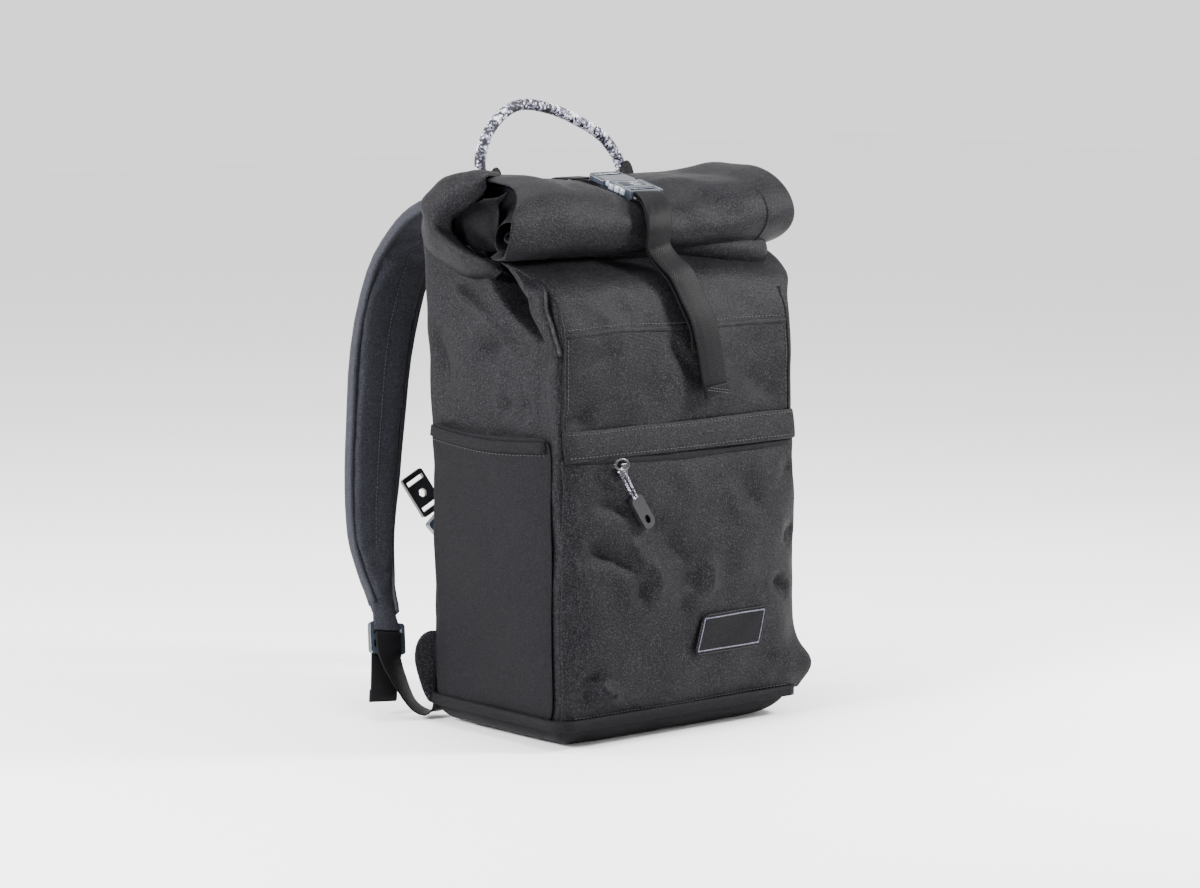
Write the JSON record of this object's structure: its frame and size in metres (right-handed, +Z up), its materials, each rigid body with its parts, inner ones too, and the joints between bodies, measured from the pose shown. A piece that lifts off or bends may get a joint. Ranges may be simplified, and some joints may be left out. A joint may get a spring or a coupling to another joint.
{
  "type": "rolltop backpack",
  "caption": "Soft rolltop daypack with a rolled and buckled top, front zip pocket, open side pockets, padded shoulder straps, chest strap and a rope haul loop.",
  "frame": {"origin": "on the floor under the middle of the body's base", "axes": "+Z up, the front panel faces -Y, +X to the right seen from the front"},
  "size_m": [0.3296, 0.2911, 0.5187],
  "materials": {
    "heathered_cloth": "matt heathered polyester weave",
    "smooth_cloth": "matt smooth stretch weave",
    "strap_knit": "fine matt knit",
    "black_webbing": "ribbed webbing",
    "woven_label": "fine woven label",
    "flecked_rope": "braided rope with dark, pale and lavender flecks",
    "slate_plastic": "moulded slate blue-grey plastic",
    "black_plastic": "moulded black plastic"
  },
  "bodies": {
    "root": {"bag_body": "heathered_cloth", "base_panel": "smooth_cloth", "rolled_top": "heathered_cloth", "front_pocket": "heathered_cloth", "zip_flap": "heathered_cloth", "zip_slider": "black_plastic", "pull_cord": "flecked_rope", "pull_grip": "slate_plastic", "side_pocket_left": "smooth_cloth", "side_pocket_right": "smooth_cloth", "label_patch": "woven_label", "back_pad": "strap_knit", "shoulder_strap_left": "strap_knit", "shoulder_strap_right": "strap_knit", "ladder_lock_left": "slate_plastic", "ladder_lock_right": "slate_plastic", "lower_webbing_left": "black_webbing", "lower_webbing_right": "black_webbing", "wing_tab_left": "heathered_cloth", "wing_tab_right": "heathered_cloth", "haul_loop": "flecked_rope", "haul_tab_left": "heathered_cloth", "haul_tab_right": "heathered_cloth", "closure_anchor": "black_webbing", "closure_tail": "black_webbing", "closure_back_web": "black_webbing", "buckle_female": "slate_plastic", "buckle_male": "slate_plastic", "sternum_slider_left": "black_plastic", "sternum_slider_right": "black_plastic", "sternum_buckle_female": "slate_plastic", "sternum_buckle_male": "slate_plastic", "sternum_web": "black_webbing"}
  },
  "joints": []
}
